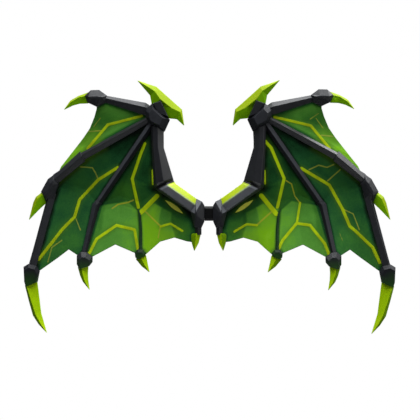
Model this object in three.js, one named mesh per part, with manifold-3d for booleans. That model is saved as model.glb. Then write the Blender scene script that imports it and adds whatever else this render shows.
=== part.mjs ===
// A pair of costume bat wings joined by a short bar, in millimetres, +Z up, display side towards -Y.
// The origin is the middle of the bar's flat rear face, which sits against the wearer's back.
// All tables give the wing on the +X side. The other wing is its mirror image.
import * as THREE from 'three';
import { mergeVertices } from 'three/addons/utils/BufferGeometryUtils.js';
import Module from 'manifold-3d';

const wasm = await Module();
wasm.setup();

// Clearance between pieces that meet, and thickness of the membrane
const GAP = 0.35;
const CLOTH = 2;

// Connector bar: length between the root blocks, height, depth and the chamfer along it
const BAR = { length: 25.7, height: 44, depth: 27, chamfer: 7 };

// Share of a bone's bulge at which its sharp side edges become flats
const BONE_FLAT = 0.3;
const CLAW_FLAT = 0.15;
// Height of the arm's second ridge, as a share of the first
const BROW = 0.8;

// Shoulders of a block: shares of its front and back depth, and how far its rear face draws in
const SHOULDER = 0.42;
const REAR_FACE = 0.76;
// How much further than its faces a grown block's corners move out
const CORNER = 1.2;
// Points nearer than this are one point
const WELD = 1e-4;

// Squares of each membrane panel, across and along the fingers
const MESH = { across: 12, along: 12 };

// Turns rows of numbers into objects with the named columns
function table(columns, rows) {
  const names = columns.split(' ');
  return rows.map((row) => Object.fromEntries(names.map((name, i) => [name, row[i]])));
}

// A bar's section: edges a and b in the wing's plane, middle depth y, bulge to the front and back,
// the place of its front ridge as a share of the way from a to b, and on the arm a second ridge, the brow
const section = (rows) => table('ax az bx bz y front back ridge brow', rows);

const BARS = {
  upper_arm: section([
    [30, 40, 52, 0, -20, 12, 12, 0.42, 0.82],
    [40, 47, 60, 8, -21, 16, 15, 0.42, 0.82],
    [57.7, 59.6, 87, 25.4, -23.4, 23, 17, 0.41, 0.82],
    [99, 89, 150, 66, -29, 25, 18, 0.38, 0.82],
    [105.6, 99.1, 162.6, 76.5, -30, 16, 12, 0.36, 0.82],
  ]),
  forearm: section([
    [105.5, 99.8, 163.5, 76.9, -30, 17, 13, 0.46, 0.84],
    [107.5, 107, 165, 85, -31, 25, 19, 0.46, 0.84],
    [134, 196.5, 169.5, 196.5, -40, 20, 16, 0.46, 0.84],
    [131, 250, 171, 262, -45, 20, 16, 0.5, 0.84],
  ]),
  root_stub: section([
    [22, -34, 42, -34, -20, 14, 12, 0.5],
    [22, -64, 40.5, -64, -20, 12, 11, 0.5],
  ]),
  root_claw: section([
    [25, -58, 50, -60, -20, 9, 8, 0.5],
    [23.6, -63.5, 53.3, -66, -20.5, 11, 9, 0.5],
    [30, -88, 51, -90, -23, 8, 7, 0.5],
    [42, -111, 44, -111.5, -27, 1, 1, 0.5],
  ]),
  thumb_claw: section([
    [72, 262.5, 73.8, 261.5, -56, 1, 1, 0.5],
    [79, 309.5, 94.5, 280.8, -51, 12, 9, 0.3],
    [103, 331, 121, 284, -46, 18, 14, 0.38],
    [135, 360, 148, 325, -45, 21, 16, 0.6],
    [155, 378, 169, 322, -45, 19, 15, 0.28],
    [181, 386, 174.5, 352, -47, 12, 9, 0.3],
    [210.4, 396, 211, 394.6, -54, 1, 1, 0.5],
  ]),
  finger1_bone: section([
    [172, 321, 174, 292, -45, 14, 11, 0.4],
    [187, 330.5, 198.5, 295.5, -44, 16, 13, 0.4],
    [312, 354.8, 318, 336, -26, 11, 9, 0.42],
  ]),
  finger1_claw: section([
    [346, 366, 350, 332, -25, 9, 8, 0.22],
    [364, 364, 364, 331, -25, 12, 10, 0.22],
    [392, 353.5, 388, 330, -28, 10, 8, 0.25],
    [415.2, 339.3, 408, 324, -33, 7, 6, 0.35],
    [433.4, 311.8, 432.2, 310.8, -40, 1, 1, 0.5],
  ]),
  finger2_inner_bone: section([
    [170, 297, 158, 279, -45, 12, 10, 0.38],
    [386.7, 183, 375.7, 162.4, -12, 13, 11, 0.36],
  ]),
  finger2_sleeve: section([
    [389.4, 187.2, 373.8, 158.1, -12, 17, 14, 0.5],
    [480, 111, 462, 88, 3, 15, 13, 0.5],
  ]),
  finger2_knuckle_claw: section([
    [502, 76, 488, 38, 4, 9, 8, 0.3],
    [511, 66, 496, 31, 3, 12, 10, 0.3],
    [526, 50.4, 503, 24, 0, 11, 9, 0.3],
    [533, 34, 514, 13, -4, 8, 7, 0.38],
    [544.4, -18.4, 543.2, -19, -14, 1, 1, 0.5],
  ]),
  finger2_outer_bone: section([
    [492, 50, 465, 60, 5, 14, 12, 0.3],
    [546.5, -165, 520, -171, -28, 13, 11, 0.3],
  ]),
  finger2_claw: section([
    [551, -200, 518, -195, -31, 11, 10, 0.2],
    [552.5, -216.5, 515, -207, -32, 15, 12, 0.2],
    [540, -262, 508, -259.5, -36, 14, 11, 0.28],
    [526.5, -305.4, 501.6, -298.5, -42, 11, 9, 0.4],
    [508, -332, 492.5, -326, -47, 7, 6, 0.45],
    [483.2, -356, 482.2, -355, -54, 1, 1, 0.5],
  ]),
  finger3_inner_bone: section([
    [173.3, 280.5, 156.7, 269.5, -45, 11, 9, 0.62],
    [341.9, 42.1, 325.1, 30.1, 3.5, 7, 7, 0.62],
  ]),
  finger3_outer_bone: section([
    [342.2, 41.7, 325.4, 29.7, 3.5, 6, 6, 0.62],
    [354, 28.5, 331.5, 23, 4, 15, 10, 0.62],
    [357.7, 3.3, 338.1, -0.9, -2, 11.5, 9, 0.62],
    [382.9, -123, 365.2, -124, -33, 10, 8, 0.6],
  ]),
  finger3_claw: section([
    [391, -150, 360, -146, -35, 9, 8, 0.4],
    [392.5, -161, 359.5, -157, -36, 11, 9, 0.4],
    [385, -186, 361.5, -179, -39, 10, 8, 0.4],
    [376.4, -204, 360, -199, -43, 7, 6, 0.4],
    [356, -227.4, 354.8, -226.6, -50, 1, 1, 0.5],
  ]),
  finger4_claw: section([
    [215, -129, 190, -120, -35, 8, 7, 0.5],
    [218, -137, 187, -126.5, -36, 9, 8, 0.5],
    [199.5, -158.5, 182.5, -148, -40, 7, 6, 0.5],
    [176.9, -175, 176, -174, -47, 1, 1, 0.5],
  ]),
};

// Blocks: outline in the wing's plane, middle depth y, depth to the front and back, and the front
// face as shares of the outline along and across a line that leans by so many degrees from +X.
// Column drop is how far a corner's front shoulder lies back. The nose is the middle of the front
// face where that isn't over the middle of the outline.
const outline = (rows) => table('x z drop', rows);
const BLOCKS = {
  root_block: {
    outline: outline([
      [39.6, 45.9, 10], [54.3, 6], [43, -40], [22, -43.5], [13.2, -24], [13.2, 24], [20.4, 36],
    ]),
    y: -22, front: 24, back: 22, long: 0.15, wide: 0.15, lean: 0, nose: { x: 36.6, z: -1.8 },
  },
  wrist_block: {
    outline: outline([
      [168, 327.3], [187.8, 307.5], [186.9, 287.4], [179, 270], [147, 252], [131.4, 245], [115.4, 280.2],
    ]),
    y: -45, front: 31, back: 22, long: 0.55, wide: 0.6, lean: 40,
  },
  thumb_socket: {
    outline: outline([[166, 328], [141.5, 336.9], [117.5, 284.5], [146, 296]]),
    y: -45, front: 25, back: 18, long: 0.86, wide: 0.86, lean: 45,
  },
  finger1_knuckle: {
    outline: outline([
      [305, 354], [328.4, 371.1], [354, 370.4], [372.9, 353.4], [363.6, 333.3], [335.6, 320.3], [311, 332],
    ]),
    y: -25, front: 21, back: 16, long: 0.62, wide: 0.1, lean: 0,
  },
  finger2_knuckle: {
    outline: outline([[470, 118], [489, 104.6], [510.6, 65.6], [495, 36], [472, 46], [456, 90]]),
    y: 5, front: 22, back: 17, long: 0.6, wide: 0.2, lean: -60,
  },
  finger2_tip_block: {
    outline: outline([
      [541, -151], [556, -160], [554, -205], [549, -221], [515.7, -206], [509, -173], [518, -157],
    ]),
    y: -30, front: 20, back: 16, long: 0.8, wide: 0.8, lean: -80, nose: { x: 534, z: -187 },
  },
  finger3_tip_block: {
    outline: outline([
      [366, -116], [383, -115], [395.3, -126], [395.3, -152],
      [387.5, -166], [359, -158], [349, -146], [348.5, -130],
    ]),
    y: -34, front: 17, back: 13, long: 0.66, wide: 0.66, lean: -80, nose: { x: 372, z: -146.5 },
  },
  finger4_tip_block: {
    outline: outline([
      [196, -108], [212, -107.5], [221, -117], [219.8, -131],
      [213.5, -136.5], [204, -134], [188.8, -127], [189, -117],
    ]),
    y: -35, front: 13, back: 11, long: 0.7, wide: 0.7, lean: 0, nose: { x: 206, z: -125.5 },
  },
};

// Membrane panels: the bone lines they are laced to, from the wrist outwards, and the free edge.
// Column t is the share of the way along each line.
const line = (rows) => table('t x y z', rows);
const FINGER2_LINE = line([
  [0, 172, -45, 287], [0.4, 381, -12, 172], [0.64, 478, 4, 88], [1, 533, -30, -186],
]);
const FINGER3_LINE = line([
  [0, 168, -45, 274], [0.6, 339, 5, 29], [1, 372, -34, -140],
]);
const PANELS = {
  membrane_outer: {
    from: line([[0, 172, -45, 305], [1, 338, -25, 343]]),
    to: line([[0, 172, -45, 287], [0.68, 381, -12, 172], [1, 468, 4, 102]]),
    edge: line([
      [0, 338, -25, 343], [0.125, 338, -23, 316], [0.25, 346, -19, 291], [0.375, 361, -14, 257],
      [0.5, 382, -11, 227], [0.75, 424, -5, 174], [0.875, 450, 1, 142], [1, 468, 4, 102],
    ]),
    sag: 9, fold: 0, foldAt: 0.5,
  },
  membrane_middle: {
    from: FINGER2_LINE,
    to: FINGER3_LINE,
    edge: line([
      [0, 533, -30, -186], [0.125, 508, -28, -171], [0.5, 460, -20, -136], [0.75, 424.5, -18, -108.8],
      [0.875, 401, -24, -123], [1, 372, -34, -140],
    ]),
    sag: 12, fold: 0, foldAt: 0.6,
  },
  membrane_inner: {
    from: line([[0, 172, -42, 262], [0.6, 339, 5, 29], [1, 372, -34, -140]]),
    to: line([
      [0, 165, -43, 240], [0.2, 153, -40, 190], [0.45, 140, -30, 88], [0.78, 46, -20, 16], [1, 42, -22, -88],
    ]),
    edge: line([
      [0, 372, -34, -140], [0.0833, 348, -30, -129], [0.25, 283, -16, -93.9], [0.4167, 222, -31, -119],
      [0.5, 205, -35, -122], [0.5833, 188, -33, -122], [0.75, 146.6, -22, -85], [0.8333, 104, -16, -73],
      [0.9167, 66, -19, -84], [1, 42, -22, -88],
    ]),
    sag: 8, fold: 14, foldAt: 0.68,
  },
};

// Finger 4 lies along the inner membrane, from its pointed top to its tip block
const RIB = table('s t width front back', [
  [0.47, 0.68, 4, 3, 3], [0.472, 0.72, 8, 5, 5], [0.474, 0.84, 9, 7, 6], [0.5, 0.99, 11, 8, 7],
]);

// Pieces that each piece gives way to where they meet
const GIVES_WAY = {
  upper_arm: ['root_block'],
  forearm: ['wrist_block'],
  root_claw: ['root_block'],
  thumb_socket: ['wrist_block'],
  thumb_claw: ['thumb_socket', 'wrist_block', 'finger1_bone'],
  finger1_bone: ['wrist_block', 'finger1_knuckle'],
  finger1_claw: ['finger1_knuckle'],
  finger2_inner_bone: ['wrist_block', 'finger1_bone'],
  finger2_sleeve: ['finger2_knuckle'],
  finger2_knuckle_claw: ['finger2_knuckle'],
  finger2_outer_bone: ['finger2_knuckle', 'finger2_tip_block', 'finger2_knuckle_claw'],
  finger2_claw: ['finger2_tip_block'],
  finger3_inner_bone: ['wrist_block', 'finger2_inner_bone', 'forearm'],
  finger3_outer_bone: ['finger3_tip_block'],
  finger3_claw: ['finger3_tip_block'],
  finger4_rib: ['finger4_tip_block'],
  finger4_claw: ['finger4_tip_block'],
  membrane_outer: [
    'wrist_block', 'finger1_bone', 'finger1_knuckle', 'finger2_inner_bone', 'finger2_sleeve',
    'finger2_knuckle',
  ],
  membrane_middle: [
    'wrist_block', 'finger2_inner_bone', 'finger2_sleeve', 'finger2_knuckle', 'finger2_outer_bone',
    'finger2_tip_block', 'finger3_inner_bone', 'finger3_outer_bone', 'finger3_tip_block',
  ],
  membrane_inner: [
    'wrist_block', 'finger3_inner_bone', 'finger3_outer_bone', 'finger3_tip_block', 'forearm', 'upper_arm',
    'root_block', 'root_claw', 'finger4_rib', 'finger4_tip_block', 'finger4_claw',
  ],
};

// Finishes
const CHARCOAL = { color: 0x26272c, roughness: 0.5, metalness: 0 };
const BLACK = { color: 0x121316, roughness: 0.4, metalness: 0 };
const LIME = { color: 0xa4cc18, roughness: 0.4, metalness: 0 };
const GREEN = { color: 0x2f6e2a, roughness: 0.75, metalness: 0 };
const DARK_GREEN = { color: 0x14301a, roughness: 0.6, metalness: 0 };

// Closed skin through sections that all have the same number of points
function skin(sections) {
  const count = sections[0].length;
  const last = (sections.length - 1) * count;
  const index = [];
  for (let start = 0; start < last; start += count) {
    for (let i = 0; i < count; i += 1) {
      const j = (i + 1) % count;
      index.push(start + i, start + j, start + count + j);
      index.push(start + i, start + count + j, start + count + i);
    }
  }
  for (let i = 1; i + 1 < count; i += 1) {
    index.push(0, i + 1, i);
    index.push(last, last + i, last + i + 1);
  }
  const geometry = new THREE.BufferGeometry().setFromPoints(sections.flat());
  geometry.setIndex(index);
  return geometry;
}

// Six times the volume inside a mesh, below zero where its faces point inwards
function turning(points, index) {
  const corners = [new THREE.Vector3(), new THREE.Vector3(), new THREE.Vector3()];
  let sum = 0;
  for (let i = 0; i < index.count; i += 3) {
    corners.forEach((corner, k) => corner.fromBufferAttribute(points, index.getX(i + k)));
    sum += corners[0].dot(corners[1].cross(corners[2]));
  }
  return sum;
}

// Solid for joining and cutting, with its faces pointing out
function solid(geometry) {
  const merged = mergeVertices(geometry, WELD);
  const points = merged.getAttribute('position');
  const triVerts = Uint32Array.from(merged.index.array);
  if (turning(points, merged.index) < 0) {
    triVerts.reverse();
  }
  const mesh = new wasm.Mesh({ numProp: 3, vertProperties: Float32Array.from(points.array), triVerts });
  return new wasm.Manifold(mesh);
}

function geometryOf(body) {
  const mesh = body.getMesh();
  const geometry = new THREE.BufferGeometry();
  geometry.setAttribute('position', new THREE.BufferAttribute(mesh.vertProperties, 3));
  geometry.setIndex(new THREE.BufferAttribute(mesh.triVerts, 1));
  return geometry;
}

// Ridged bar through a table of sections, larger by grow all round
function bar(rows, flat, grow = 0) {
  const middles = rows.map((r) => new THREE.Vector3((r.ax + r.bx) / 2, r.y, (r.az + r.bz) / 2));
  const end = rows.length - 1;
  return skin(rows.map((r, i) => {
    const a = new THREE.Vector3(r.ax, r.y, r.az);
    const b = new THREE.Vector3(r.bx, r.y, r.bz);
    const outwards = b.clone().sub(a).setLength(grow);
    a.sub(outwards);
    b.add(outwards);
    const push = new THREE.Vector3();
    if (i === 0) {
      push.subVectors(middles[0], middles[1]).setLength(grow);
    } else if (i === end) {
      push.subVectors(middles[end], middles[end - 1]).setLength(grow);
    }
    const front = r.front + grow;
    const back = r.back + grow;
    const place = (share, depth) => a.clone().lerp(b, share).add(push).add(new THREE.Vector3(0, depth, 0));
    const brow = r.brow ? [place(r.brow, -BROW * front)] : [];
    return [
      place(0, -flat * front), place(r.ridge, -front), ...brow, place(1, -flat * front),
      place(1, flat * back), place(0.5, back), place(0, flat * back),
    ];
  }));
}

// Faceted block, larger by grow all round
function block(shape, grow = 0) {
  const count = shape.outline.length;
  const middle = { x: 0, z: 0 };
  for (const corner of shape.outline) {
    middle.x += corner.x / count;
    middle.z += corner.z / count;
  }
  const lean = THREE.MathUtils.degToRad(shape.lean);
  const along = new THREE.Vector2(Math.cos(lean), Math.sin(lean));
  const across = new THREE.Vector2(-along.y, along.x);
  const level = (y, long, wide, at = middle, drop = 0) => shape.outline.map((corner) => {
    const reach = new THREE.Vector2(corner.x - middle.x, corner.z - middle.z);
    const flat = along.clone().multiplyScalar(reach.dot(along) * long);
    flat.addScaledVector(across, reach.dot(across) * wide);
    flat.setLength(flat.length() + grow * CORNER);
    return new THREE.Vector3(at.x + flat.x, y + drop * (corner.drop ?? 0), at.z + flat.y);
  });
  return skin([
    level(shape.y + shape.back + grow, REAR_FACE, REAR_FACE),
    level(shape.y + shape.back * SHOULDER, 1, 1),
    level(shape.y - shape.front * SHOULDER, 1, 1, middle, 1),
    level(shape.y - shape.front - grow, shape.long, shape.wide, shape.nose ?? middle),
  ]);
}

// Point at share t of a line
function pointOn(rows, t) {
  const next = Math.max(1, rows.findIndex((row) => row.t >= t));
  const [a, b] = [rows[next - 1], rows[next]];
  const share = (t - a.t) / (b.t - a.t);
  return new THREE.Vector3(a.x, a.y, a.z).lerp(new THREE.Vector3(b.x, b.y, b.z), share);
}

// Point of a panel: the line between its bones, drawn towards the free edge, with sag and a fold across
function panelPoint(panel, s, t) {
  const pull = pointOn(panel.edge, s).sub(pointOn(panel.from, 1).lerp(pointOn(panel.to, 1), s));
  const point = pointOn(panel.from, t).lerp(pointOn(panel.to, t), s).addScaledVector(pull, t);
  const foldShare = t < panel.foldAt ? t / panel.foldAt : (1 - t) / (1 - panel.foldAt);
  point.y += 4 * s * (1 - s) * panel.sag * t + Math.sin(Math.PI * s) * panel.fold * foldShare;
  return point;
}

// Membrane panel of even thickness, as a closed grid of squares
function sheet(panel) {
  const columns = MESH.across + 1;
  const rows = MESH.along + 1;
  const sides = [-CLOTH / 2, CLOTH / 2].map((depth) => {
    const points = [];
    for (let row = 0; row < rows; row += 1) {
      for (let column = 0; column < columns; column += 1) {
        const point = panelPoint(panel, column / MESH.across, row / MESH.along);
        points.push(point.add(new THREE.Vector3(0, depth, 0)));
      }
    }
    return points;
  });
  const rear = columns * rows;
  const at = (row, column) => row * columns + column;
  const index = [];
  for (let row = 0; row + 1 < rows; row += 1) {
    for (let column = 0; column + 1 < columns; column += 1) {
      const [a, b] = [at(row, column), at(row, column + 1)];
      const [c, d] = [at(row + 1, column + 1), at(row + 1, column)];
      index.push(a, b, c, a, c, d);
      index.push(rear + a, rear + c, rear + b, rear + a, rear + d, rear + c);
    }
  }
  const across = Array.from({ length: MESH.across }, (_, column) => column);
  const along = Array.from({ length: MESH.along }, (_, row) => row);
  const rim = [
    ...across.map((column) => at(0, column)),
    ...along.map((row) => at(row, MESH.across)),
    ...across.map((column) => at(MESH.along, MESH.across - column)),
    ...along.map((row) => at(MESH.along - row, 0)),
  ];
  rim.forEach((a, i) => {
    const b = rim[(i + 1) % rim.length];
    index.push(a, rear + b, b, a, rear + a, rear + b);
  });
  const geometry = new THREE.BufferGeometry().setFromPoints(sides.flat());
  geometry.setIndex(index);
  return geometry;
}

// Rib on its column of the inner membrane, as rows of bar sections
function ribRows() {
  return RIB.map(({ s, t, width, front, back }) => {
    const { x, y, z } = panelPoint(PANELS.membrane_inner, s, t);
    return { ax: x + width / 2, az: z, bx: x - width / 2, bz: z, y, front, back, ridge: 0.5 };
  });
}

// Connector: a chamfered bar along X whose flat rear face lies at y = 0
function connector() {
  const { length, height, depth, chamfer } = BAR;
  const top = height / 2;
  const profile = [
    [0, top - chamfer], [-chamfer, top], [chamfer - depth, top], [-depth, top - chamfer],
    [-depth, chamfer - top], [chamfer - depth, -top], [-chamfer, -top], [0, chamfer - top],
  ];
  return skin([-length / 2, length / 2].map((x) => profile.map(([y, z]) => new THREE.Vector3(x, y, z))));
}

// Uncut shape of a piece of the wing
function rawPiece(name, grow = 0) {
  if (name in PANELS) {
    return solid(sheet(PANELS[name]));
  }
  if (name === 'finger4_rib') {
    return solid(bar(ribRows(), BONE_FLAT, grow));
  }
  if (name === 'root_block') {
    return solid(block(BLOCKS.root_block, grow)).add(solid(bar(BARS.root_stub, BONE_FLAT, grow)));
  }
  if (name in BLOCKS) {
    return solid(block(BLOCKS[name], grow));
  }
  if (name.endsWith('claw')) {
    return solid(bar(BARS[name], CLAW_FLAT, grow));
  }
  return solid(bar(BARS[name], BONE_FLAT, grow));
}

function pieceGeometry(name) {
  let body = rawPiece(name);
  for (const other of GIVES_WAY[name] ?? []) {
    body = body.subtract(rawPiece(other, GAP));
  }
  return geometryOf(body);
}

function finishOf(name) {
  if (name.endsWith('claw')) {
    return LIME;
  }
  if (name.startsWith('membrane')) {
    return GREEN;
  }
  return name.endsWith('rib') ? DARK_GREEN : CHARCOAL;
}

function named(name, geometry, finish) {
  const mesh = new THREE.Mesh(geometry, new THREE.MeshStandardMaterial(finish));
  mesh.name = name;
  return mesh;
}

const NAMES = [...Object.keys(BLOCKS), ...Object.keys(BARS), 'finger4_rib', ...Object.keys(PANELS)]
  .filter((name) => name !== 'root_stub');

function wings() {
  const pair = new THREE.Group();
  const right = new THREE.Group();
  const left = new THREE.Group();
  left.scale.x = -1;
  pair.add(right, left, named('connector_bar', connector(), BLACK));
  for (const name of NAMES) {
    const geometry = pieceGeometry(name);
    right.add(named(`right_${name}`, geometry, finishOf(name)));
    left.add(named(`left_${name}`, geometry, finishOf(name)));
  }
  return pair;
}

export default wings();
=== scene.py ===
"""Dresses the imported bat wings: foam bones, cast claws, stretched cloth membranes and a connector bar."""
import math
from collections import namedtuple

import bmesh
import bpy
import numpy as np
from mathutils import Matrix, Vector
from mathutils.bvhtree import BVHTree
from mathutils.geometry import convex_hull_2d


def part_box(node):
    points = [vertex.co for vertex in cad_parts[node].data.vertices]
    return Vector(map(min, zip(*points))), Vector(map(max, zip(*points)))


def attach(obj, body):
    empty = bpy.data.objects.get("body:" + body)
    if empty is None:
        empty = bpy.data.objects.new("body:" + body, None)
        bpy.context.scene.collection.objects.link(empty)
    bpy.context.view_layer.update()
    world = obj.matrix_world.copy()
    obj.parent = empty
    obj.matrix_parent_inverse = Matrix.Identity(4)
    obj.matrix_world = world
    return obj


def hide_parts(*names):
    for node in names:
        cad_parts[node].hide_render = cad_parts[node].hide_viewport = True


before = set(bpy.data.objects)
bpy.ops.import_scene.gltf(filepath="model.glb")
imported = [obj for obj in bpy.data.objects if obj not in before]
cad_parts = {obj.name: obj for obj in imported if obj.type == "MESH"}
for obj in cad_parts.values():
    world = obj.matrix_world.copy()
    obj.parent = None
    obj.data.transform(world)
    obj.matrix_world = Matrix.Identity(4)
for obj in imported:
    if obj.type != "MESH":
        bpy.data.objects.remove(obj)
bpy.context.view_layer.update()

MM = 0.001
SIDES = ("left", "right")

# Camera: a long lens straight at the wings, a little from the right
TARGET = Vector((0.00375, -0.025, 0.0105))
DISTANCE = 3.0
VIEW_WIDTH = 1.26
YAW = math.radians(1.5)

# Photo pixels: millimetres that one covers at the target, and the pixel at the frame's X and Z zero
PIXEL = 3.0
ZERO_PX = (208.75, 213.5)

# Floor below wings that are worn at shoulder height, in metres
FLOOR = {"height": -1.9, "radius": 0.9, "sides": 96}

# Lamps: place and size in metres, and power in watts
Lamp = namedtuple("Lamp", "name place size power colour")
LAMPS = (
    Lamp("top_lamp", (0.3, -0.3, 2.7), (4.6, 2.4), 184, (0.97, 0.99, 1.0)),
    Lamp("right_lamp", (3.2, -1.2, 0.4), (1.6, 2.2), 16, (1.0, 0.99, 0.96)),
    Lamp("upper_right_lamp", (2.3, 0.3, 2.2), (1.6, 1.6), 50, (1.0, 1.0, 1.0)),
    Lamp("back_lamp", (0.1, 2.0, 2.3), (3.6, 2.0), 130, (1.0, 1.0, 1.0)),
)
# Even light of the room, and the white paper that the camera sees behind the wings
WHITE = (1.0, 1.0, 1.0, 1.0)
ROOM = {"Color": (0.9, 0.95, 1.0, 1.0), "Strength": 0.16}
PAPER = {"Color": WHITE, "Strength": 1.0}

# Rounding of bones, blocks and the thin rib in millimetres, and of claws in hundredths of their edges
FOAM_ROUND = 1.1
BLOCK_ROUND = 0.9
RIB_ROUND = 0.66
CLAW_ROUND = 6.0
ROUND_STEPS = 3
# How firmly large faces keep their own light beside a rounded edge, from 1 to 100
FACE_WEIGHT = 100
# Points of a solid that are one point, in millimetres, and in foam the slivers that are taken out too
WELD = 0.02
SLIVER = 1.0
# Angles below which two faces are one flat face, and above which their edge is rounded
FLAT_ANGLE = math.radians(2)
CREASE_ANGLE = math.radians(11)
# How near an end lies to the piece that carries it, also at the elbow, and how far it is sunk into it
END_REACH = 1.2
ELBOW_REACH = 2.0
END_SINK = 3.0

FOAM_BONES = (
    "upper_arm", "forearm", "finger1_bone", "finger2_inner_bone", "finger2_sleeve", "finger2_outer_bone",
    "finger3_inner_bone", "finger3_outer_bone",
)
FOAM_BLOCKS = (
    "root_block", "wrist_block", "thumb_socket", "finger1_knuckle", "finger2_knuckle", "finger2_tip_block",
    "finger3_tip_block", "finger4_tip_block",
)
DULL_FOAM = (
    "wrist_block", "finger3_inner_bone", "finger3_outer_bone", "finger2_tip_block", "finger4_tip_block",
)
CLAWS = (
    "root_claw", "thumb_claw", "finger1_claw", "finger2_knuckle_claw", "finger2_claw", "finger3_claw",
    "finger4_claw",
)

# Pieces that carry the ends of each piece
CARRIERS = {
    "upper_arm": ("root_block",), "forearm": ("wrist_block", "upper_arm"), "thumb_socket": ("wrist_block",),
    "finger1_bone": ("wrist_block", "finger1_knuckle"),
    "finger2_inner_bone": ("wrist_block", "finger2_sleeve"), "finger2_sleeve": ("finger2_knuckle",),
    "finger2_outer_bone": ("finger2_knuckle", "finger2_tip_block"),
    "finger3_inner_bone": ("wrist_block", "finger3_outer_bone"), "finger3_outer_bone": ("finger3_tip_block",),
    "finger4_rib": ("finger4_tip_block",), "root_claw": ("root_block",), "thumb_claw": ("thumb_socket",),
    "finger1_claw": ("finger1_knuckle",), "finger2_knuckle_claw": ("finger2_knuckle",),
    "finger2_claw": ("finger2_tip_block",), "finger3_claw": ("finger3_tip_block",),
    "finger4_claw": ("finger4_tip_block",),
}

# Facets of right-hand pieces that get a painted highlight in a lighter grey: the direction they face and how
# light they are
LIT_FACETS = {
    "root_block": ((0.41, -0.78, 0.46), 1.0), "wrist_block": ((0.0, -1.0, 0.0), 0.14),
    "finger3_inner_bone": ((0.45, -0.88, 0.12), 0.5), "finger3_outer_bone": ((0.5, -0.82, 0.27), 0.2),
}
# How nearly a facet has to face that way, as a cosine, and how fast the lighter grey sets in
LIT_FROM = 0.9
LIT_RISE = 12

# Block that each claw grows from
CLAW_ROOTS = {
    "root_claw": "root_block", "thumb_claw": "thumb_socket", "finger1_claw": "finger1_knuckle",
    "finger2_knuckle_claw": "finger2_knuckle", "finger2_claw": "finger2_tip_block",
    "finger3_claw": "finger3_tip_block", "finger4_claw": "finger4_tip_block",
}
# Claws whose painted green glow does not show on the block, and claws that crest the wing and catch the most
# light
NO_GLOW_CLAWS = ("root_claw", "thumb_claw", "finger1_claw", "finger2_knuckle_claw")
CREST_CLAWS = ("thumb_claw", "finger1_claw", "finger2_knuckle_claw")
# Reach of a claw's painted green glow on a block in millimetres, and its strength
GLOW_REACH = 32.0
GLOW_SHARE = 0.8
# Direction that the bright faces of each right-hand claw turn to: they get painted light, and the faces
# turned away get painted shade
BRIGHT_SIDES = {
    "root_claw": (-1, -0.2, 0.2), "thumb_claw": (-0.7, -0.2, 0.7), "finger1_claw": (0.3, 0.1, 1),
    "finger2_knuckle_claw": (0.8, 0, 0.6), "finger2_claw": (-1, -0.5, 0), "finger3_claw": (-1, -0.5, 0),
    "finger4_claw": (-1, -0.4, 0),
}
# How much painted light a face at right angles to that direction gets, and how fast it gets more towards it
BRIGHT_FROM = 0.3
BRIGHT_RISE = 1.6

# Cloth, in millimetres: its thickness, the extra thickness of a vein's welt, and how far it is tucked
# into the bones and into the thin rib
CLOTH = 2.0
WELT = 1.2
TUCK = 5.0
RIB_TUCK = 1.6
# Most that the cloth's edge may step from one row to the next, so that it runs evenly past the joints
EDGE_STEP = 4.5
# Height of a thin branch as a share of a vein's welt, and half the width of a welt's slope in photo pixels
THREAD_WELT = 0.4
WELT_SLOPE = 0.5
# Steps in which a row is searched for bones, and a panel for its first free row
ROW_STEPS = 900
TOP_STEPS = 401
# Distance in photo pixels that is beyond any vein or patch
FAR = 1000.0


def table(*values):
    """A table of numbers, a row for each tuple."""
    return np.array(values, float)


# Membrane panels of the right wing, in millimetres, as in the solids: the lines that the cloth is laced to
# and its free edge, each row the share along the line and x, y, z
Panel = namedtuple("Panel", "start end edge sag fold fold_at columns rows rests_on shades")
FINGER2_LINE = table((0, 172, -45, 287), (0.4, 381, -12, 172), (0.64, 478, 4, 88), (1, 533, -30, -186))
FINGER3_LINE = table((0, 168, -45, 274), (0.6, 339, 5, 29), (1, 372, -34, -140))

# Painted shade beside the bones, airbrushed: how far it reaches in millimetres and how deep it is
OUTER_SHADES = {
    "wrist_block": (28, 0.35), "finger1_bone": (10, 0.5), "finger1_knuckle": (8, 0.45),
    "finger2_inner_bone": (10, 0.55), "finger2_sleeve": (3, 0.3), "finger2_knuckle": (3, 0.3),
}
MIDDLE_SHADES = {
    "wrist_block": (185, 0.86), "finger2_inner_bone": (17, 0.88), "finger2_sleeve": (14, 0.88),
    "finger2_knuckle": (13, 0.8), "finger2_outer_bone": (13, 0.85), "finger2_tip_block": (10, 0.5),
    "finger3_inner_bone": (8, 0.7), "finger3_outer_bone": (6, 0.6), "finger3_tip_block": (7, 0.4),
}
INNER_SHADES = {
    "wrist_block": (95, 0.64), "finger3_inner_bone": (10, 0.75), "finger3_outer_bone": (5, 0.6),
    "finger3_tip_block": (6, 0.4), "forearm": (14, 0.8), "upper_arm": (26, 0.94), "root_block": (16, 0.7),
    "root_claw": (8, 0.4), "finger4_rib": (5, 0.5), "finger4_tip_block": (8, 0.5), "finger4_claw": (3, 0.2),
}

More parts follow.
